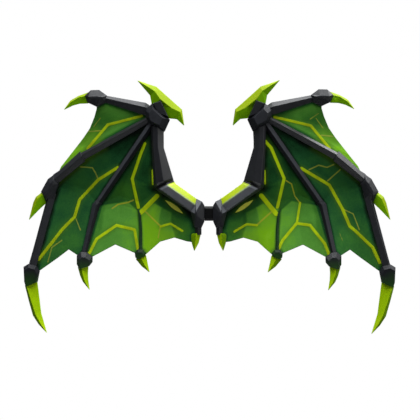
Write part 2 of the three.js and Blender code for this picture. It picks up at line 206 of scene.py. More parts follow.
PANELS = {
    "membrane_outer": Panel(
        start=table((0, 172, -45, 305), (1, 338, -25, 343)),
        end=table((0, 172, -45, 287), (0.68, 381, -12, 172), (1, 468, 4, 102)),
        edge=table(
            (0, 338, -25, 343), (0.125, 338, -23, 316), (0.25, 346, -19, 291), (0.375, 361, -14, 257),
            (0.5, 382, -11, 227), (0.75, 424, -5, 174), (0.875, 450, 1, 142), (1, 468, 4, 102)),
        sag=9, fold=0, fold_at=0.5, columns=120, rows=150,
        rests_on=("finger1_bone", "finger2_inner_bone", "finger2_sleeve"), shades=OUTER_SHADES),
    "membrane_middle": Panel(
        start=FINGER2_LINE,
        end=FINGER3_LINE,
        edge=table(
            (0, 533, -30, -186), (0.125, 508, -28, -171), (0.5, 460, -20, -136), (0.75, 424.5, -18, -108.8),
            (0.875, 401, -24, -123), (1, 372, -34, -140)),
        sag=12, fold=0, fold_at=0.6, columns=90, rows=250,
        rests_on=("finger2_inner_bone", "finger2_outer_bone", "finger3_inner_bone"), shades=MIDDLE_SHADES),
    "membrane_inner": Panel(
        start=table((0, 172, -42, 262), (0.6, 339, 5, 29), (1, 372, -34, -140)),
        end=table(
            (0, 165, -43, 240), (0.2, 153, -40, 190), (0.45, 140, -30, 88), (0.78, 42, -20, 16),
            (1, 37, -22, -88)),
        edge=table(
            (0, 372, -34, -140), (0.0833, 348, -30, -129), (0.25, 283, -16, -93.9), (0.4167, 222, -31, -119),
            (0.5, 205, -35, -122), (0.5833, 188, -33, -122), (0.75, 146.6, -22, -85), (0.8333, 104, -16, -73),
            (0.9167, 66, -19, -84), (1, 37, -22, -88)),
        sag=8, fold=14, fold_at=0.68, columns=151, rows=190,
        rests_on=("finger3_inner_bone", "forearm", "upper_arm"), shades=INNER_SHADES),
}
# Pieces of finger 4, and the line that it lies on as shares across and along the inner panel
RIB_PIECES = ("finger4_rib", "finger4_tip_block", "finger4_claw")
RIB_LINE = table((0.68, 0.47), (0.84, 0.474), (0.99, 0.5), (1, 0.5))

# Solids with an outline that turns inwards: bands of their height, in millimetres, that do not
BANDS = {"root_block": ((-44, 50), (-65, -37)), "finger4_rib": ((-2, 12), (-49, -1), (-118, -48))}
WHOLE = ((-1000, 1000),)

# Veins, in photo pixels: width of the stroke and the points that it runs through
VEINS = {
    "left": (
        (2.6, ((141.8, 115.8), (107.6, 124.6), (87.3, 148.3))),
        (3.0, ((117.2, 167.6), (98, 179.6), (79, 199.6), (73.8, 217.2), (61.4, 229.5), (38, 259.5))),
        (3.0, ((145, 143.5), (141.2, 152.4), (132, 178.7), (138, 207.3))),
        (4.5, ((156.8, 196), (140.7, 212.6))),
        (2.8, ((88.7, 254), (96.2, 239.1), (116, 225.5), (134.4, 229.8), (137.6, 248.7))),
        (2.2, ((160.4, 226.6), (170.3, 223.8), (182.3, 231))),
        (2.0, ((152.6, 170.4), (152.8, 184))),
    ),
    "right": (
        (2.6, ((274.6, 117.3), (310.2, 125.9), (329.1, 148.8))),
        (3.0, ((300.9, 168.5), (328.5, 185.1), (341.8, 209.3), (349, 226.3), (354, 230.4), (372, 247.3),
               (379, 262.3))),
        (3.0, ((265.1, 141.1), (271.2, 148.3), (283.7, 178.5), (277, 207.2))),
        (4.5, ((261, 195.6), (275.7, 213.8))),
        (2.2, ((299.5, 203), (296.5, 222.5))),
        (2.8, ((328.6, 254.2), (324.6, 243.8), (309.6, 225.3), (296.2, 223.4), (282, 240.8), (278.4, 249))),
        (2.2, ((234.2, 231.6), (246.5, 224.3), (256.6, 225.3))),
        (2.0, ((264.3, 171), (264.8, 183.4))),
    ),
}
# Finer side branches
THREADS = {
    "left": (
        (1.2, ((101.2, 130.5), (88.1, 131.3))),
        (0.8, ((100.1, 117.7), (93.2, 126.5))),
        (1.3, ((97.1, 178), (95, 172.9), (91.8, 167.6), (79.8, 166.5))),
        (1.0, ((75.3, 219), (80, 230.5))),
        (1.1, ((61, 240.5), (50.9, 247.7), (46.9, 262.4))),
        (1.4, ((111.5, 208.6), (117.3, 204.6), (128, 202.3), (133.3, 200))),
        (1.5, ((145, 211.5), (160.3, 226.3))),
        (1.1, ((160.3, 226), (158, 238))),
    ),
    "right": (
        (1.3, ((320.9, 135.5), (332, 136.8))),
        (0.9, ((309.7, 119.5), (318, 113.7))),
        (0.8, ((315.5, 118.5), (322.4, 128.4))),
        (1.3, ((308.6, 169.8), (318.1, 165.3), (326.5, 167.4), (333.2, 164.6))),
        (1.3, ((326.8, 181), (339.5, 169.8))),
        (1.0, ((343, 209.6), (352.4, 213.9), (358.6, 229.7))),
        (0.6, ((338.8, 233), (342.1, 240.7))),
        (1.2, ((285.6, 180.7), (291, 184), (294.2, 196.2), (299.4, 203))),
        (1.6, ((256.6, 225), (271, 212))),
    ),
}
# Leaf-shaped vein below each upper arm, painted very pale as a painted glow: its full width and its two ends
LEAVES = {
    "left": (4.2, ((164.6, 199.9), (183.3, 213.8))),
    "right": (4.2, ((234.8, 212.9), (253.2, 199.9))),
}

# Painted light on the cloth, over its dye: each panel's own tone, from 0 for black-green to 1 for pale green
TONES = {"membrane_outer": 0.36, "membrane_middle": 0.22, "membrane_inner": 0.22}
# How yellow the cloth of each panel is, and how lime its veins are at two heights in photo pixels
CASTS = {"membrane_outer": 0.4, "membrane_middle": 0.0, "membrane_inner": 0.4}
GLEAM_HEIGHTS = (150, 250)
GLEAMS = {"membrane_outer": (0.25, 0.25), "membrane_middle": (0.25, 0.25), "membrane_inner": (1.0, 0.4)}
# Patches of painted light on the right wing, and of painted shade where the tone is below zero, in photo
# pixels: the tone they add, the softness of their border and their outline
Patch = namedtuple("Patch", "tone soft outline")
PATCHES = (
    Patch(0.34, 1.0, (
        (319.3, 205.7), (299.3, 203), (291.3, 201), (280.7, 210), (277.6, 256), (300, 262), (335, 264))),
    Patch(-0.14, 2.0, ((311, 203.5), (320, 206), (331, 256), (326, 245), (316, 229), (315, 215))),
    Patch(0.44, 1.0, (
        (278.1, 216.6), (278.8, 209), (263.1, 203.4), (256.2, 207.4), (259, 220.7), (257.2, 225.8),
        (258.5, 236), (262, 252), (271.2, 262), (276.8, 248.3))),
    Patch(0.16, 14.0, ((257, 228), (276, 228), (274, 262), (260, 256))),
    Patch(0.26, 1.2, ((256.2, 207.4), (246.2, 212.6), (246.5, 222.8), (257.2, 224.8), (259, 220.7))),
    Patch(0.4, 1.2, ((246.5, 222.8), (242.7, 236), (241.5, 244), (262, 252), (258.5, 236), (257.2, 224.8))),
    Patch(0.14, 4.0, ((246, 214), (228, 222), (216, 247), (243, 247))),
    Patch(0.09, 16.0, ((281, 214), (291, 214), (300, 262), (278, 262))),
    Patch(-0.05, 1.5, ((258, 140), (268, 138), (275, 150), (282, 170), (283, 179), (264, 187), (258, 187))),
    Patch(0.05, 1.5, ((262, 188), (282, 179.5), (284, 181), (278, 207), (262, 203))),
    Patch(0.17, 9.0, ((286, 184), (297, 180), (318, 203), (299, 202), (291, 200), (281, 208))),
    Patch(0.12, 16.0, ((333, 225), (372, 225), (384, 275), (334, 275))),
    Patch(0.06, 12.0, ((318, 160), (345, 178), (362, 200), (350, 206), (328, 180))),
    Patch(0.16, 7.0, ((280, 109), (322, 101), (324, 112), (290, 118))),
    Patch(0.14, 7.0, ((284, 122), (300, 122), (345, 150), (362, 172), (336, 154))),
    Patch(0.27, 4.0, ((331, 147), (342, 143), (380, 190), (356, 176), (337, 156))),
)
# Patches of the cloth that are yellower, with the share of the yellow as their tone: the first is dye, the
# second yellows the painted highlight beside finger 2
WARM_PATCHES = (
    Patch(0.6, 6.0, ((278, 214), (262, 207), (259, 226), (243, 232), (241, 246), (272, 264), (277, 248))),
    Patch(0.4, 8.0, ((314, 148), (322, 128), (338, 134), (386, 196), (356, 178))),
)


def tint(red, green, blue):
    """Linear colour of a screen colour given from 0 to 255."""
    def linear(value):
        share = value / 255
        return share / 12.92 if share <= 0.04045 else ((share + 0.055) / 1.055) ** 2.4
    return (linear(red), linear(green), linear(blue), 1.0)


# Paints and dyes
CHARCOAL = tint(30, 31, 36)
WORN_CHARCOAL = tint(40, 41, 47)
# Painted highlight on the facets that face the light
FACET_HIGHLIGHT_GREY = tint(92, 94, 100)
ARM_LIME = tint(190, 214, 8)
ARM_PALE = tint(150, 168, 120)
# Painted highlight on the upper arm's middle facet
ARM_HIGHLIGHT_GREY = tint(112, 114, 120)
# Claws: painted shade on the faces turned from the light, then the paint of the body and of the tip
CLAW_SHADE = tint(116, 158, 0)
CLAW_BODY = tint(170, 211, 4)
CLAW_TIP = tint(195, 230, 22)
# Crest claws: their painted shade is lighter than their body, and their body darker than on the other claws,
# to even out the strong light they catch
CREST_SHADE = tint(128, 190, 0)
CREST_BODY = tint(144, 168, 10)
CREST_TIP = tint(168, 190, 24)
RIB_GREEN = tint(26, 60, 30)
WORN_GREEN = tint(40, 78, 42)
BAR_BLACK = tint(6, 6, 7)
WORN_BLACK = tint(14, 15, 17)
# Painted shade at the elbow
ELBOW_SHADE_BLACK = tint(5, 6, 6)
# Painted green glow that a claw casts on its block
CLAW_GLOW = tint(36, 84, 8)
VEIN_OLIVE = tint(164, 178, 8)
VEIN_LIME = tint(212, 244, 14)
THREAD_OLIVE = tint(146, 160, 62)
THREAD_LIME = tint(206, 200, 44)
# Painted glow of the leaf-shaped vein
LEAF_GLOW_PALE = tint(255, 255, 96)
# Yellow of the cloth's dye, and of its painted highlight beside finger 2
DYE_AND_HIGHLIGHT_YELLOW = tint(132, 190, 10)
# Painted glow round the veins
HALO_GREEN = tint(78, 124, 10)
YELLOW_CAST = (1.05, 1.0, 0.5, 1.0)
# Cloth from its darkest painted shade to its palest painted light, over its dye
CLOTH_TONES = (
    (0.0, tint(2, 17, 5)), (0.1, tint(11, 55, 25)), (0.2, tint(29, 88, 44)), (0.3, tint(47, 108, 46)),
    (0.4, tint(65, 130, 46)), (0.6, tint(96, 166, 66)), (0.8, tint(134, 208, 28)), (1.0, tint(198, 254, 114)),
)
FLOOR_WHITE = tint(240, 240, 240)

# Finishes: paint, paint of worn edges, unevenness, roughness and strength of the shine
Finish = namedtuple("Finish", "paint worn mottle rough shine")
FINISHES = {
    "bone_charcoal": Finish(CHARCOAL, WORN_CHARCOAL, 0.1, 0.42, 0.55),
    "block_charcoal": Finish(CHARCOAL, WORN_CHARCOAL, 0.1, 0.46, 0.38),
    "dull_charcoal": Finish(CHARCOAL, WORN_CHARCOAL, 0.1, 0.5, 0.16),
    "rib_green": Finish(RIB_GREEN, WORN_GREEN, 0.14, 0.5, 0.25),
    "connector_black": Finish(BAR_BLACK, WORN_BLACK, 0.12, 0.6, 0.2),
}
# Finishes whose paint changes over the piece
ARM_FINISH = Finish(None, None, 0.08, 0.42, 0.35)
CLAW_FINISH = Finish(None, None, 0.03, 0.46, 0.06)
# Claws: painted shade of the faces turned from the light, paint of the body and of the tip, and the share of
# the claw that the body takes
CLAW_PAINTS = {
    "claw_lime": (CLAW_SHADE, CLAW_BODY, CLAW_TIP),
    "crest_lime": (CREST_SHADE, CREST_BODY, CREST_TIP),
}
CLAW_BODY_SHARE = 0.6
CLAW_SWING = 0.06

# Random spots in the finishes: how many there are to the metre, and the part of their range that is used
SPOTS = {
    "cloud": 38.0, "brush": 150.0, "grain": 620.0, "spray": 260.0, "cast": 90.0, "dye": 22.0, "fleck": 260.0,
    "gleam": 28.0, "nap": 120.0, "floor": 3.0,
}
SPREAD = 0.2
GLEAM_SPREAD = 0.15
# Brush marks between which edges are worn, those that make the paint rougher, and by how much
WEAR_MARKS = (0.42, 0.6)
ROUGH_MARKS = (0.25, 0.75)
ROUGH_SWING = 0.07
# Grain of sealed foam: depth in metres and strength
GRAIN_DEPTH = 0.0004
FOAM_GRAIN = 0.1

# Dye of the cloth: how far its tone swings in clouds and in flecks
DYE_SWING = 0.035
FLECK_SWING = 0.02
# Painted green glow round a vein: reach in millimetres and strength
HALO_REACH = 18.0
HALO_SHARE = 0.35
# How far a vein's lime swings, how strong a thin branch is, and half the soft borders in millimetres
GLEAM_SWING = 0.2
THREAD_SHARE = 0.8
VEIN_BORDER = 0.5
LEAF_BORDER = 0.8
# Weave: rate and unevenness of its ribs, depth in metres and strength
WEAVE_RATE = 240.0
WEAVE_UNEVEN = 0.4
WEAVE_DEPTH = 0.0003
WEAVE_STRENGTH = 0.3
# Range of the cloth's roughness, its shine, and the floor's roughness
CLOTH_ROUGH = (0.62, 0.78)
CLOTH_SHINE = 0.12
FLOOR_ROUGH = 0.9

# Upper arm: its top edge from root to elbow, in millimetres, and its paint by the depth below that edge,
# as shares of the arm's width: lime, a pale border, a painted highlight in grey on the middle facet,
# then charcoal
ARM_EDGE = ((40.0, 47.0), (99.0, 89.0))
ARM_WIDTH = 50.0
ARM_BANDS = (
    (0.0, ARM_LIME), (0.27, ARM_LIME), (0.34, ARM_PALE), (0.44, ARM_HIGHLIGHT_GREY), (0.77, ARM_HIGHLIGHT_GREY),
    (0.83, CHARCOAL),
)
# How far the sprayed border of a band wanders, in millimetres
ARM_SPRAY = 1.2
# Painted shade at the elbow: direction across it, and where it starts and is full, in millimetres
ELBOW_SHADE_BAND = {"towards": (0.411, 0.0, 0.912), "start": 127.0, "full": 130.0}


# Shader nodes

def add_node(tree, kind, inputs=None, **settings):
    """A new node with its settings, and its inputs as values or as sockets to link."""
    made = tree.nodes.new(kind)
    for name, value in settings.items():
        setattr(made, name, value)
    for name, value in (inputs or {}).items():
        if isinstance(value, bpy.types.NodeSocket):
            tree.links.new(value, made.inputs[name])
        else:
            made.inputs[name].default_value = value
    return made


def mixed(tree, share, first, second, blend="MIX"):
    """Colour between two colours."""
    made = tree.nodes.new("ShaderNodeMix")
    made.data_type = "RGBA"
    made.blend_type = blend
    sockets = {"Factor_Float": share, "A_Color": first, "B_Color": second}
    for socket in made.inputs:
        value = sockets.get(socket.identifier)
        if isinstance(value, bpy.types.NodeSocket):
            tree.links.new(value, socket)
        elif value is not None:
            socket.default_value = value
    return next(socket for socket in made.outputs if socket.identifier == "Result_Color")


def ranged(tree, value, low, high, to_low=0.0, to_high=1.0, smooth=True):
    """Value mapped from one range to another and held at its ends."""
    made = add_node(tree, "ShaderNodeMapRange", {
        "Value": value, "From Min": low, "From Max": high, "To Min": to_low, "To Max": to_high})
    made.interpolation_type = "SMOOTHSTEP" if smooth else "LINEAR"
    return made.outputs["Result"]


def calculated(tree, operation, first, second):
    """Value worked out from two values."""
    made = add_node(tree, "ShaderNodeMath", {0: first, 1: second}, operation=operation)
    return made.outputs["Value"]


def object_place(tree):
    return add_node(tree, "ShaderNodeTexCoord").outputs["Object"]


def attribute(tree, name):
    return add_node(tree, "ShaderNodeAttribute", attribute_name=name).outputs["Fac"]


def speckle(tree, place, kind, detail=3.0):
    """Soft random spots of a kind."""
    made = add_node(tree, "ShaderNodeTexNoise", {"Vector": place, "Scale": SPOTS[kind], "Detail": detail})
    return made.outputs["Fac"]


def wavering(tree, place, kind, swing, detail=3.0, spread=SPREAD):
    """Value that swings in soft spots to both sides of zero."""
    return ranged(tree, speckle(tree, place, kind, detail), 0.5 - spread, 0.5 + spread, -swing, swing)


def toned(tree, value, stops):
    """Colour from a ramp of (place, colour) stops."""
    ramp = add_node(tree, "ShaderNodeValToRGB", {"Fac": value})
    elements = ramp.color_ramp.elements
    while len(elements) < len(stops):
        elements.new(0.5)
    for element, (place, colour) in zip(elements, stops):
        element.position = place
        element.color = colour
    return ramp.outputs["Color"]


def painted_surface():
    """Node group: hand-painted satin coat with mottling, worn edges, uneven gloss and a fine grain."""
    group = bpy.data.node_groups.new("painted_surface", "ShaderNodeTree")
    for name, kind in (
        ("Vector", "Vector"), ("Paint", "Color"), ("Worn paint", "Color"), ("Edge", "Float"),
        ("Mottle", "Float"), ("Rough", "Float"),
    ):
        group.interface.new_socket(name, in_out="INPUT", socket_type="NodeSocket" + kind)
    for name, kind in (("Colour", "Color"), ("Roughness", "Float"), ("Height", "Float")):
        group.interface.new_socket(name, in_out="OUTPUT", socket_type="NodeSocket" + kind)
    given = group.nodes.new("NodeGroupInput").outputs
    result = group.nodes.new("NodeGroupOutput").inputs
    place = given["Vector"]
    grain = speckle(group, place, "grain", 2.0)
    brush = speckle(group, place, "brush")
    uneven = calculated(group, "MULTIPLY", wavering(group, place, "cloud", 1.0, 4.0), given["Mottle"])
    shade = add_node(group, "ShaderNodeHueSaturation", {
        "Color": given["Paint"], "Value": calculated(group, "ADD", uneven, 1.0)})
    wear = calculated(group, "MULTIPLY", given["Edge"], ranged(group, brush, *WEAR_MARKS))
    colour = mixed(group, wear, shade.outputs["Color"], given["Worn paint"])
    streaks = ranged(group, brush, *ROUGH_MARKS, -ROUGH_SWING, ROUGH_SWING, smooth=False)
    group.links.new(colour, result["Colour"])
    group.links.new(calculated(group, "ADD", given["Rough"], streaks), result["Roughness"])
    group.links.new(calculated(group, "ADD", grain, brush), result["Height"])
    return group


# Materials

PAINTED = painted_surface()


def new_material(name):
    material = bpy.data.materials.new(name)
    material.use_nodes = True
    return material, material.node_tree, material.node_tree.nodes["Principled BSDF"]


def bumped(tree, shader, height, distance, strength):
    """Feeds the shader's normal from a height in metres."""
    bump = add_node(tree, "ShaderNodeBump", {"Height": height, "Distance": distance, "Strength": strength})
    tree.links.new(bump.outputs["Normal"], shader.inputs["Normal"])


def coat(tree, shader, finish, grain=0.0):
    """Wires a painted finish into the shader."""
    group = add_node(tree, "ShaderNodeGroup", {
        "Vector": object_place(tree), "Paint": finish.paint, "Worn paint": finish.worn,
        "Edge": attribute(tree, "edge"), "Mottle": finish.mottle, "Rough": finish.rough}, node_tree=PAINTED)
    tree.links.new(group.outputs["Colour"], shader.inputs["Base Color"])
    tree.links.new(group.outputs["Roughness"], shader.inputs["Roughness"])
    shader.inputs["Specular IOR Level"].default_value = finish.shine
    if grain:
        bumped(tree, shader, group.outputs["Height"], GRAIN_DEPTH, grain)


def plain_coat(name):
    """One paint, with a painted highlight in lighter grey on marked facets and the painted green glow of a
    claw where it is marked.
    """
    material, tree, shader = new_material(name)
    finish = FINISHES[name]
    # Painted highlight on the facets marked lit
    paint = mixed(tree, attribute(tree, "lit"), finish.paint, FACET_HIGHLIGHT_GREY)
    # Painted green glow of the claw on its block
    paint = mixed(tree, attribute(tree, "glow"), paint, CLAW_GLOW)
    coat(tree, shader, finish._replace(paint=paint), FOAM_GRAIN)
    return material


def arm_coat():
    """Charcoal arm whose top face is sprayed lime, with a soft lower border, a painted highlight in grey on
    its middle facet and painted shade at the elbow.
    """
    material, tree, shader = new_material("arm_charcoal_and_lime")
    place = object_place(tree)
    parts = add_node(tree, "ShaderNodeSeparateXYZ", {"Vector": place}).outputs
    (x0, z0), (x1, z1) = ARM_EDGE
    length = math.hypot(x1 - x0, z1 - z0)
    down = Vector(((z1 - z0) / length, 0, -(x1 - x0) / length))
    outwards = add_node(tree, "ShaderNodeMath", {0: parts["X"]}, operation="ABSOLUTE").outputs["Value"]
    on_right = add_node(tree, "ShaderNodeCombineXYZ", {"X": outwards, "Z": parts["Z"]}).outputs["Vector"]
    offset = add_node(tree, "ShaderNodeVectorMath", {
        0: on_right, 1: (x0 * MM, 0.0, z0 * MM)}, operation="SUBTRACT").outputs["Vector"]
    depth = add_node(tree, "ShaderNodeVectorMath", {
        0: offset, 1: down}, operation="DOT_PRODUCT").outputs["Value"]
    border = calculated(tree, "ADD", depth, wavering(tree, place, "spray", ARM_SPRAY * MM, 2.0))
    bands = toned(tree, ranged(tree, border, 0.0, ARM_WIDTH * MM, smooth=False), ARM_BANDS)
    # Painted shade at the elbow end of the arm
    to_elbow = add_node(tree, "ShaderNodeVectorMath", {
        0: on_right, 1: ELBOW_SHADE_BAND["towards"]}, operation="DOT_PRODUCT").outputs["Value"]
    elbow_shade = ranged(tree, to_elbow, ELBOW_SHADE_BAND["start"] * MM, ELBOW_SHADE_BAND["full"] * MM)
    paint = mixed(tree, elbow_shade, bands, ELBOW_SHADE_BLACK)
    coat(tree, shader, ARM_FINISH._replace(paint=paint, worn=paint), FOAM_GRAIN)
    return material


def claw_coat(name):
    """Cast claw: painted shade in another green on the faces turned from the light, and paler towards its
    tip.
    """
    material, tree, shader = new_material(name)
    shade, body, tip = CLAW_PAINTS[name]
    along = calculated(
        tree, "ADD", attribute(tree, "along"), wavering(tree, object_place(tree), "cast", CLAW_SWING))
    lit = toned(tree, along, ((0.0, body), (CLAW_BODY_SHARE, body), (1.0, tip)))
    # Painted shade on the faces turned from the light, body and tip paint on the bright side
    paint = mixed(tree, attribute(tree, "bright"), shade, lit)
    coat(tree, shader, CLAW_FINISH._replace(paint=paint, worn=paint))
    return material


def cloth_coat():
    """Dyed cloth: airbrushed tones of painted light and shade, veins with a soft painted glow round them, and
    a fine weave.
    """
    material, tree, shader = new_material("membrane_cloth")
    place = object_place(tree)
    clouds = wavering(tree, place, "dye", DYE_SWING, 4.0)
    flecks = wavering(tree, place, "fleck", FLECK_SWING, 2.0)
    # Painted light and shade of the cloth, with uneven dye
    light = calculated(tree, "ADD", attribute(tree, "light"), calculated(tree, "ADD", clouds, flecks))
    dye = toned(tree, light, CLOTH_TONES)
    dye = mixed(tree, attribute(tree, "cast"), dye, YELLOW_CAST, "MULTIPLY")
    dye = mixed(tree, attribute(tree, "warm"), dye, DYE_AND_HIGHLIGHT_YELLOW)
    vein = attribute(tree, "vein")
    # Painted glow round the veins
    halo = ranged(tree, vein, HALO_REACH * MM, 0.0)
    halo = calculated(tree, "MULTIPLY", calculated(tree, "MULTIPLY", halo, halo), HALO_SHARE)
    dye = mixed(tree, halo, dye, HALO_GREEN)
    glints = wavering(tree, place, "gleam", GLEAM_SWING, spread=GLEAM_SPREAD)
    gleam = calculated(tree, "ADD", attribute(tree, "gleam"), glints)
    border = VEIN_BORDER * MM
    thread = ranged(tree, attribute(tree, "thread"), border, -border, 0.0, THREAD_SHARE)
    dye = mixed(tree, thread, dye, mixed(tree, gleam, THREAD_OLIVE, THREAD_LIME))
    dye = mixed(tree, ranged(tree, vein, border, -border), dye, mixed(tree, gleam, VEIN_OLIVE, VEIN_LIME))
    leaf = ranged(tree, attribute(tree, "leaf"), border, -LEAF_BORDER * MM)
    tree.links.new(mixed(tree, leaf, dye, LEAF_GLOW_PALE), shader.inputs["Base Color"])
    weave = {"Vector": place, "Scale": WEAVE_RATE, "Distortion": WEAVE_UNEVEN}
    warp = add_node(tree, "ShaderNodeTexWave", weave, bands_direction="X").outputs["Fac"]
    weft = add_node(tree, "ShaderNodeTexWave", weave, bands_direction="Z").outputs["Fac"]
    bumped(tree, shader, calculated(tree, "ADD", warp, weft), WEAVE_DEPTH, WEAVE_STRENGTH)
    rough = ranged(tree, speckle(tree, place, "nap"), 0.5 - SPREAD, 0.5 + SPREAD, *CLOTH_ROUGH)
    tree.links.new(rough, shader.inputs["Roughness"])
    shader.inputs["Specular IOR Level"].default_value = CLOTH_SHINE
    return material


def floor_coat():
    """Pale matt floor with a faint mottle."""
    material, tree, shader = new_material("pale_floor")
    mottle = mixed(tree, speckle(tree, object_place(tree), "floor"), FLOOR_WHITE, WHITE)
    tree.links.new(mottle, shader.inputs["Base Color"])
    shader.inputs["Roughness"].default_value = FLOOR_ROUGH
    return material


# Foam and cast pieces

def smooth(value):
    """Value held between 0 and 1, with a soft start and end."""
    held = np.clip(value, 0, 1)
    return held * held * (3 - 2 * held)


def points_of(mesh):
    return np.array([vert.co for vert in mesh.vertices])


def mark_points(mesh, label, values):
    """Stores a value on each point of a mesh."""
    mesh.attributes.new(label, "FLOAT", "POINT").data.foreach_set("value", values.astype(np.float32))


def mark_faces(bm, label, towards, value):
    """Stores on each face a value that depends on how far it turns towards a direction."""
    layer = bm.faces.layers.float.new(label)
    for face in bm.faces:
        face[layer] = float(value(face.normal.dot(towards)))


def on_side(side, direction):
    """Direction on the right wing, turned over for the left one."""
    towards = Vector(direction).normalized()
    towards.x *= 1 if side == "right" else -1
    return towards


def add_piece(name, bm, material, slot, *stands_for):
    """Turns a bmesh into a piece of the object that stands for some solids."""
    mesh = bpy.data.meshes.new(name)
    bm.to_mesh(mesh)
    bm.free()
    mesh.shade_smooth()
    mesh.materials.append(material)
    piece = bpy.data.objects.new(name, mesh)
    bpy.context.scene.collection.objects.link(piece)
    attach(piece, "root")
    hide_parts(*stands_for)
    return piece


def merged_copy(node, merge):
    """The solid of a node as a bmesh with whole flat faces."""
    bm = bmesh.new()
    bm.from_mesh(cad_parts[node].data)
    bmesh.ops.remove_doubles(bm, verts=bm.verts, dist=merge * MM)
    bmesh.ops.dissolve_limit(bm, angle_limit=FLAT_ANGLE, verts=bm.verts, edges=bm.edges)
    return bm


def sink_ends(bm, side, name):
    """Runs the ends of a piece a little way into the pieces that carry it, so no light shows between them."""
    for carrier in CARRIERS.get(name, ()):
        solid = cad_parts[f"{side}_{carrier}"].data
        faces = [face.vertices for face in solid.polygons]
        surface = BVHTree.FromPolygons([vert.co for vert in solid.vertices], faces)
        reach = ELBOW_REACH if carrier == "upper_arm" else END_REACH
        for vert in bm.verts:
            _, outwards, _, away = surface.find_nearest(vert.co)
            if away < reach * MM:
                vert.co -= outwards * END_SINK * MM


def round_edges(bm, offset, kind):
    """Rounds the creases of a solid and marks the rounded faces as worn edges."""
    edge = bm.faces.layers.float.new("edge")
    creases = [e for e in bm.edges if e.is_manifold and e.calc_face_angle() > CREASE_ANGLE]
    made = bmesh.ops.bevel(
        bm, geom=creases, offset=offset, offset_type=kind, affect="EDGES", segments=ROUND_STEPS, profile=0.5,
        material=-1, clamp_overlap=False)
    for face in made["faces"]:
        face[edge] = 1.0


def even_shading(piece):
    """Keeps large faces flat and turns the light only over the rounded edges."""
    piece.modifiers.new("even_shading", "WEIGHTED_NORMAL").weight = FACE_WEIGHT


def mark_lit(bm, side, name):
    """Marks the facets of a piece that get a painted highlight in a lighter grey."""
    if name not in LIT_FACETS:
        return
    direction, share = LIT_FACETS[name]
    mark_faces(bm, "lit", on_side(side, direction), lambda turn: share * smooth((turn - LIT_FROM) * LIT_RISE))


def mark_glow(piece, side, block):
    """Marks a block with the painted green glow of the claw that grows from it."""
    claws = [claw for claw, root in CLAW_ROOTS.items() if root == block and claw not in NO_GLOW_CLAWS]
    if not claws:
        return
    claw = points_of(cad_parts[f"{side}_{claws[0]}"].data)
    nearest = np.linalg.norm(points_of(piece.data)[:, None] - claw[None], axis=2).min(axis=1)
    mark_points(piece.data, "glow", GLOW_SHARE * smooth(1 - nearest / (GLOW_REACH * MM)))


def foam_piece(node, material, slot, radius):
    """One foam bone or block with rounded edges."""
    side, name = node.split("_", 1)
    bm = merged_copy(node, SLIVER)
    sink_ends(bm, side, name)
    round_edges(bm, radius * MM, "OFFSET")
    mark_lit(bm, side, name)
    piece = add_piece(node + "_foam", bm, material, slot, node)
    mark_glow(piece, side, name)
    even_shading(piece)


def mark_along(piece, side, claw):
    """Marks each point of a claw with its share of the way from the root to the farthest tip."""
    middle = np.mean(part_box(f"{side}_{CLAW_ROOTS[claw]}"), axis=0)
    reach = np.linalg.norm(points_of(piece.data) - middle, axis=1)
    mark_points(piece.data, "along", (reach - reach.min()) / (reach.max() - reach.min()))


def claw_piece(node, material):
    """One cast claw, with its bright side marked for painted light and shade and its tip marked for the
    paint.
    """
    side, claw = node.split("_", 1)
    bm = merged_copy(node, WELD)
    sink_ends(bm, side, claw)
    round_edges(bm, CLAW_ROUND, "PERCENT")
    mark_faces(bm, "bright", on_side(side, BRIGHT_SIDES[claw]),
               lambda turn: smooth(turn * BRIGHT_RISE + BRIGHT_FROM))
    piece = add_piece(node + "_cast", bm, material, "claw_lime", node)
    mark_along(piece, side, claw)
    even_shading(piece)


def make_hard_pieces():
    """All foam and cast pieces, each with its own coat."""
    coats = {name: plain_coat(name) for name in FINISHES}
    foam_coats = {name: coats["bone_charcoal"] for name in FOAM_BONES}
    foam_coats.update({name: coats["block_charcoal"] for name in FOAM_BLOCKS})
    foam_coats.update({name: coats["dull_charcoal"] for name in DULL_FOAM})
    foam_coats["upper_arm"] = arm_coat()
    claw_coats = {name: claw_coat(name) for name in CLAW_PAINTS}
    for side in SIDES:
        for name in FOAM_BONES:
            foam_piece(f"{side}_{name}", foam_coats[name], "bone_charcoal", FOAM_ROUND)
        for name in FOAM_BLOCKS:
            foam_piece(f"{side}_{name}", foam_coats[name], "bone_charcoal", BLOCK_ROUND)
        for name in CLAWS:
            claw_piece(f"{side}_{name}", claw_coats["crest_lime" if name in CREST_CLAWS else "claw_lime"])
        foam_piece(f"{side}_finger4_rib", coats["rib_green"], "rib_green", RIB_ROUND)
    foam_piece("connector_bar", coats["connector_black"], "connector_black", BLOCK_ROUND)


# Membranes

def on_line(line, share):
    """Points at shares of the way along a line."""
    return np.stack([np.interp(share, line[:, 0], line[:, k]) for k in (1, 2, 3)], axis=-1)


def panel_points(panel, s, t):
    """Points of a panel: s from its first bone to its second, t from the wrist to the free edge."""
    across = s[..., None]
    chord = on_line(panel.start, 1.0) * (1 - across) + on_line(panel.end, 1.0) * across
    pull = on_line(panel.edge, s) - chord
    points = on_line(panel.start, t) * (1 - across) + on_line(panel.end, t) * across + pull * t[..., None]
    fold = np.where(t < panel.fold_at, t / panel.fold_at, (1 - t) / (1 - panel.fold_at))
    points[..., 1] += 4 * s * (1 - s) * panel.sag * t + np.sin(np.pi * s) * panel.fold * fold
    return points


